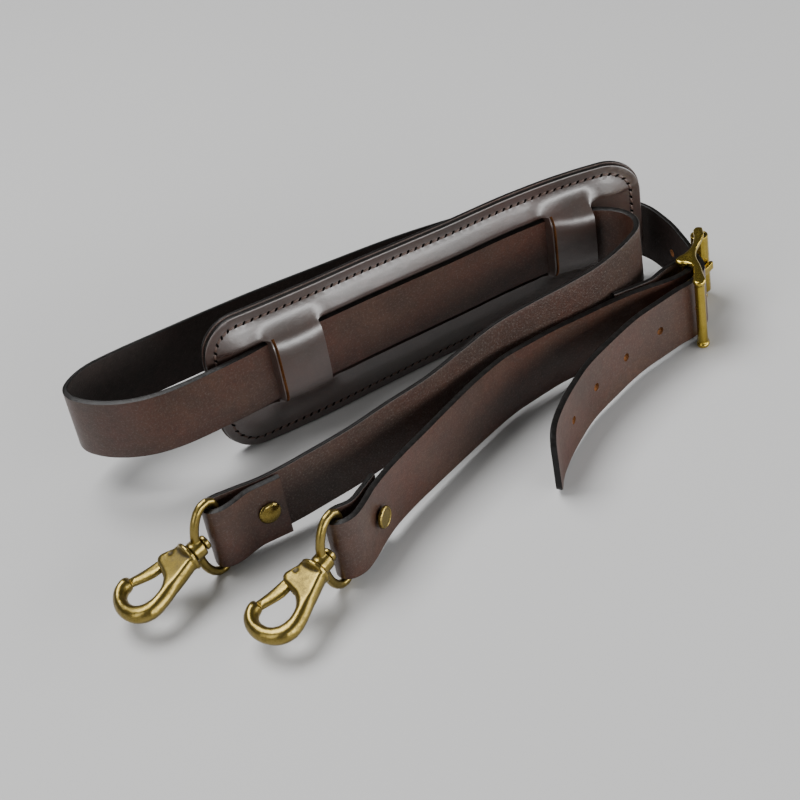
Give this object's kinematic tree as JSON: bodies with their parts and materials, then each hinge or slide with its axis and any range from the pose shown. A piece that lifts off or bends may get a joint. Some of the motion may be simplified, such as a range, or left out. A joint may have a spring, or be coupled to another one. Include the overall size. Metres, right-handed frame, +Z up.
{
  "type": "camera neck strap",
  "caption": "Leather camera neck strap with stitched shoulder pad, roller buckle with a punched tail, and two brass swivel snap hooks.",
  "frame": {"origin": "under the middle of the whole laid-out strap, on the table it lies on", "axes": "+X along the shoulder pad towards the buckle, +Y away from the viewer of the pad's stitched face, +Z up"},
  "size_m": [0.2694, 0.1508, 0.0589],
  "materials": {
    "leather": "dark brown bridle leather, waxed, burnished black cut edges",
    "leather_back": "dark brown leather backing, matt flesh side",
    "brass": "cast antique brass, rubbed bright with dark recesses",
    "buckle_brass": "solid brass, satin",
    "dark_brass": "brass with a black patina"
  },
  "bodies": {
    "strap": {"pad_face": "leather", "pad_backing": "leather_back", "long_strap": "leather", "short_strap": "leather", "buckle_frame": "buckle_brass", "buckle_roller": "buckle_brass", "buckle_tongue": "buckle_brass", "buckle_rivet": "dark_brass", "clip_1_rivet": "brass", "clip_2_stud": "brass"},
    "clip_1_ring": {"clip_1_ring": "brass"},
    "clip_1_hook": {"clip_1_hook": "brass"},
    "clip_1_gate": {"clip_1_gate": "brass"},
    "clip_2_ring": {"clip_2_ring": "brass"},
    "clip_2_hook": {"clip_2_hook": "brass"},
    "clip_2_gate": {"clip_2_gate": "brass"}
  },
  "joints": [
    {"name": "clip_1_ring_swing", "type": "hinge", "parent": "strap", "child": "clip_1_ring", "pos_m": [-0.09138, -0.0191, 0.0166], "axis": [0, 0, 1], "range_deg": [-50, 40]},
    {"name": "clip_1_hook_swivel", "type": "hinge", "parent": "clip_1_ring", "child": "clip_1_hook", "pos_m": [-0.10228, -0.02243, 0.0166], "axis": [-0.9596, -0.1692, -0.225], "continuous": true},
    {"name": "clip_1_gate_hinge", "type": "hinge", "parent": "clip_1_hook", "child": "clip_1_gate", "pos_m": [-0.11024, -0.01885, 0.01494], "axis": [-0.2215, -0.0391, 0.9744], "range_deg": [0, 26], "stiffness_Nm_per_rad": 0.02},
    {"name": "clip_2_ring_swing", "type": "hinge", "parent": "strap", "child": "clip_2_ring", "pos_m": [-0.06008, -0.05189, 0.0166], "axis": [0, 0, 1], "range_deg": [-40, 50]},
    {"name": "clip_2_hook_swivel", "type": "hinge", "parent": "clip_2_ring", "child": "clip_2_hook", "pos_m": [-0.07058, -0.05635, 0.0166], "axis": [-0.9097, -0.3492, -0.225], "continuous": true},
    {"name": "clip_2_gate_hinge", "type": "hinge", "parent": "clip_2_hook", "child": "clip_2_gate", "pos_m": [-0.07906, -0.05436, 0.01494], "axis": [-0.21, -0.0806, 0.9744], "range_deg": [0, 26], "stiffness_Nm_per_rad": 0.02}
  ]
}
